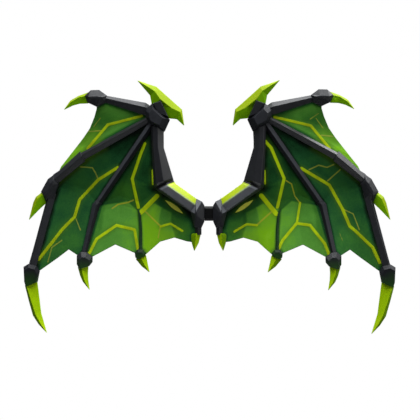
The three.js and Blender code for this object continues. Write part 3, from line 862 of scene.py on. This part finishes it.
def outline_planes(name, low, high):
    """Sides of a right-wing solid seen from the front: outward x and z, and offset, in millimetres."""
    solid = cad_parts["right_" + name].data
    flat = {(round(v.co.x / MM, 2), round(v.co.z / MM, 2)) for v in solid.vertices}
    flat = sorted(corner for corner in flat if low < corner[1] < high)
    corners = np.array([flat[i] for i in convex_hull_2d(flat)])
    middle = corners.mean(axis=0)
    ahead = np.roll(corners, -1, axis=0) - corners
    normal = np.stack([ahead[:, 1], -ahead[:, 0]], axis=1)
    normal /= np.linalg.norm(normal, axis=1)[:, None]
    inward = ((middle - corners) * normal).sum(axis=1) > 0
    normal[inward] *= -1
    return np.column_stack([normal, (normal * corners).sum(axis=1)])


OUTLINES = {
    name: [outline_planes(name, *band) for band in BANDS.get(name, WHOLE)]
    for panel in PANELS.values() for name in panel.shades
}


def clearance(name, x, z):
    """How far points lie outside a solid seen from the front, below zero inside it."""
    return np.min([
        np.max(planes[:, 0, None] * x + planes[:, 1, None] * z - planes[:, 2, None], axis=0)
        for planes in OUTLINES[name]], axis=0)


def row_clearance(panel, names, t, tuck):
    """Shares across a row, and how far outside the named pieces they lie with a tuck allowed for."""
    s = np.linspace(0, 1, ROW_STEPS)
    points = panel_points(panel, s, np.full(ROW_STEPS, t))
    clear = np.min([clearance(name, points[:, 0], points[:, 2]) for name in names], axis=0)
    return s, clear + tuck


def crossings(s, clear):
    """Where clearance along a row changes sign, as shares of the row."""
    change = np.flatnonzero((clear[:-1] > 0) != (clear[1:] > 0))
    share = clear[change] / (clear[change] - clear[change + 1])
    return s[change] + share * (s[1] - s[0])


def free_stretch(panel, names, t):
    """First and last share of the longest stretch of a row that lies clear of the named pieces, or None."""
    s, clear = row_clearance(panel, names, t, TUCK)
    if not (clear > 0).any():
        return None
    ends = list(crossings(s, clear))
    if clear[0] > 0:
        ends.insert(0, 0.0)
    if clear[-1] > 0:
        ends.append(1.0)
    return max(zip(ends[::2], ends[1::2]), key=lambda stretch: stretch[1] - stretch[0])


def evened(inset):
    """Distances from a bone's line to the cloth's edge, raised where they would jump between rows."""
    row = np.arange(len(inset))
    return np.max(inset - EDGE_STEP * np.abs(row[:, None] - row), axis=1)


def rib_slot(panel, t):
    """Both sides of finger 4 on a row of the inner panel, or None above it."""
    ends = crossings(*row_clearance(panel, RIB_PIECES, t, RIB_TUCK))
    return (ends[0], ends[-1]) if len(ends) > 1 else None


def panel_shares(panel, slotted):
    """Shares across and along for each row and column of the cloth, and the rows that finger 4 parts."""
    bones = [name for name in panel.shades if name not in RIB_PIECES]
    start = next(t for t in np.linspace(0, 1, TOP_STEPS) if free_stretch(panel, bones, t))
    along = np.linspace(start, 1, panel.rows + 1)
    free = np.array([free_stretch(panel, bones, t) for t in along])
    width = np.linalg.norm(on_line(panel.end, along) - on_line(panel.start, along), axis=1)
    firsts = evened(free[:, 0] * width) / width
    lasts = 1 - evened((1 - free[:, 1]) * width) / width
    place = np.linspace(0, 1, panel.columns + 1)
    half = 0.5 / panel.columns
    across, parted = [], []
    for t, first, last in zip(along, firsts, lasts):
        slot = rib_slot(panel, t) if slotted else None
        parted.append(slot is not None)
        if not slotted:
            across.append(first + (last - first) * place)
            continue
        if slot is None:
            middle = np.interp(t, RIB_LINE[:, 0], RIB_LINE[:, 1])
            slot = (middle - half * (last - first), middle + half * (last - first))
        across.append(np.interp(place, (0, 0.5 - half, 0.5 + half, 1), (first, *slot, last)))
    return np.array(across), np.repeat(along[:, None], panel.columns + 1, axis=1), parted


def cloth_grid(panel, across, along, parted):
    """A grid of squares laid over the panel, open where finger 4 lies."""
    bm = bmesh.new()
    corner = Matrix.Translation((0.5, 0.5, 0))
    bmesh.ops.create_grid(bm, x_segments=panel.columns, y_segments=panel.rows, size=0.5, matrix=corner)
    points = panel_points(panel, across, along) * MM
    cells = {
        vert: (round(vert.co.y * panel.rows), round(vert.co.x * panel.columns)) for vert in bm.verts}
    gap = panel.columns // 2
    opened = []
    for face in bm.faces:
        row = min(cells[v][0] for v in face.verts)
        column = min(cells[v][1] for v in face.verts)
        if column == gap and parted[row]:
            opened.append(face)
    for vert, (row, column) in cells.items():
        vert.co = points[row, column]
    bmesh.ops.delete(bm, geom=opened, context="FACES")
    bmesh.ops.remove_doubles(bm, verts=bm.verts, dist=WELD * MM)
    bmesh.ops.dissolve_degenerate(bm, edges=bm.edges, dist=WELD * MM)
    return bm


def photo_place(points):
    """Where points show in the photo, in its pixels."""
    scale = DISTANCE / (DISTANCE + points[:, 1] - TARGET.y) / (PIXEL * MM)
    return ZERO_PX[0] + points[:, 0] * scale, ZERO_PX[1] - points[:, 2] * scale


def stretch_distance(x, z, first, last):
    """Distance to a straight stretch, and the share along it of its nearest point."""
    reach = np.subtract(last, first)
    share = np.clip(((x - first[0]) * reach[0] + (z - first[1]) * reach[1]) / (reach @ reach), 0, 1)
    return np.hypot(x - first[0] - share * reach[0], z - first[1] - share * reach[1]), share


def stroke_distance(x, z, strokes):
    """Distance outside the nearest of some strokes, below zero on one."""
    best = np.full(len(x), FAR)
    for width, points in strokes:
        for first, last in zip(points, points[1:]):
            best = np.minimum(best, stretch_distance(x, z, first, last)[0] - width / 2)
    return best


def leaf_distance(x, z, leaf):
    """Distance outside a stroke that swells in its middle."""
    width, (first, last) = leaf
    away, share = stretch_distance(x, z, first, last)
    return away - width / 2 * np.sin(np.pi * share)


def patch_mask(x, z, patch):
    """One inside an outline and zero outside, with a soft border."""
    corners = patch.outline
    away = np.full(len(x), FAR)
    inside = np.zeros(len(x), bool)
    for first, last in zip(corners, corners[1:] + corners[:1]):
        away = np.minimum(away, stretch_distance(x, z, first, last)[0])
        rise = last[1] - first[1]
        if rise:
            at = first[0] + (z - first[1]) * (last[0] - first[0]) / rise
            inside ^= ((first[1] > z) != (last[1] > z)) & (x < at)
    return smooth(np.where(inside, away, -away) / patch.soft * 0.5 + 0.5)


def paint_cloth(mesh, side, name):
    """Marks the cloth with its veins and its painted light and shade, and returns the welts of the veins."""
    points = points_of(mesh)
    x, z = photo_place(points)
    leaf = leaf_distance(x, z, LEAVES[side])
    vein = np.minimum(stroke_distance(x, z, VEINS[side]), leaf)
    thread = stroke_distance(x, z, THREADS[side])
    right_x = x if side == "right" else 2 * ZERO_PX[0] - x
    light = np.full(len(x), TONES[name])
    # Patches of painted light, and of painted shade where their tone is below zero
    for patch in PATCHES:
        light += patch.tone * patch_mask(right_x, z, patch)
    # Painted shade beside the bones
    for bone, (reach, depth) in PANELS[name].shades.items():
        away = clearance(bone, np.abs(points[:, 0]) / MM, points[:, 2] / MM)
        light *= 1 - depth * smooth(1 - away / reach)
    step = PIXEL * MM
    marks = {
        "vein": vein * step, "thread": thread * step, "leaf": leaf * step, "light": light,
        "warm": sum(patch.tone * patch_mask(right_x, z, patch) for patch in WARM_PATCHES),
        "gleam": np.interp(z, GLEAM_HEIGHTS, GLEAMS[name]),
        "cast": np.full(len(x), CASTS[name]),
    }
    for label, values in marks.items():
        mark_points(mesh, label, values)
    return np.maximum(smooth(WELT_SLOPE - vein), THREAD_WELT * smooth(WELT_SLOPE - thread))


def cloth_piece(side, name, grid, material):
    """One membrane panel: two-sided cloth whose veins stand up as welts."""
    node = f"{side}_{name}"
    bm = grid.copy()
    if side == "left":
        bmesh.ops.scale(bm, vec=(-1, 1, 1), verts=bm.verts)
        bmesh.ops.reverse_faces(bm, faces=bm.faces)
    area = sum(face.calc_area() for face in bm.faces)
    piece = add_piece(node + "_cloth", bm, material, "membrane_green", node)
    welts = paint_cloth(piece.data, side, name)
    group = piece.vertex_groups.new(name="welts")
    for index, weight in enumerate(welts):
        group.add((index,), float(weight), "REPLACE")
    wall = piece.modifiers.new("cloth", "SOLIDIFY")
    wall.thickness = (CLOTH + WELT) * MM
    wall.offset = 0
    wall.vertex_group = "welts"
    wall.thickness_vertex_group = CLOTH / (CLOTH + WELT)


def make_membranes(material):
    """Each panel on both wings, the inner one open where finger 4 lies."""
    for name, panel in PANELS.items():
        slotted = name == "membrane_inner"
        grid = cloth_grid(panel, *panel_shares(panel, slotted))
        for side in SIDES:
            cloth_piece(side, name, grid, material)
        grid.free()


# Stage

def aim(thing, at):
    """Turns a lamp or camera to look at a point."""
    thing.rotation_euler = (at - thing.location).to_track_quat("-Z", "Y").to_euler()


def soft_lamp(lamp):
    """A wide lamp that looks at the wings."""
    light = bpy.data.lights.new(lamp.name, "AREA")
    light.shape = "RECTANGLE"
    light.size, light.size_y = lamp.size
    light.energy = lamp.power
    light.color = lamp.colour
    thing = bpy.data.objects.new(lamp.name, light)
    thing.location = lamp.place
    bpy.context.scene.collection.objects.link(thing)
    aim(thing, TARGET)


def make_stage():
    """The floor and the lamps."""
    bm = bmesh.new()
    bmesh.ops.create_circle(bm, cap_ends=True, segments=FLOOR["sides"], radius=FLOOR["radius"])
    bmesh.ops.translate(bm, vec=(0, 0, FLOOR["height"]), verts=bm.verts)
    mesh = bpy.data.meshes.new("floor")
    bm.to_mesh(mesh)
    bm.free()
    mesh.materials.append(floor_coat())
    floor = bpy.data.objects.new("floor", mesh)
    bpy.context.scene.collection.objects.link(floor)
    for lamp in LAMPS:
        soft_lamp(lamp)


def make_world():
    """White behind the wings, and a weaker even light round them."""
    world = bpy.data.worlds.new("studio")
    bpy.context.scene.world = world
    world.use_nodes = True
    tree = world.node_tree
    tree.nodes.clear()
    room = add_node(tree, "ShaderNodeBackground", ROOM)
    paper = add_node(tree, "ShaderNodeBackground", PAPER)
    seen = add_node(tree, "ShaderNodeLightPath").outputs["Is Camera Ray"]
    both = add_node(tree, "ShaderNodeMixShader", {
        0: seen, 1: room.outputs["Background"], 2: paper.outputs["Background"]})
    out = add_node(tree, "ShaderNodeOutputWorld")
    tree.links.new(both.outputs["Shader"], out.inputs["Surface"])


def make_camera():
    """The long lens of the photo."""
    camera = bpy.data.cameras.new("camera")
    camera.lens = camera.sensor_width * DISTANCE / VIEW_WIDTH
    thing = bpy.data.objects.new("camera", camera)
    thing.location = TARGET + DISTANCE * Vector((math.sin(YAW), -math.cos(YAW), 0))
    bpy.context.scene.collection.objects.link(thing)
    aim(thing, TARGET)
    bpy.context.scene.camera = thing


make_camera()
make_hard_pieces()
make_membranes(cloth_coat())
make_stage()
make_world()
bpy.context.scene.view_settings.view_transform = "Standard"
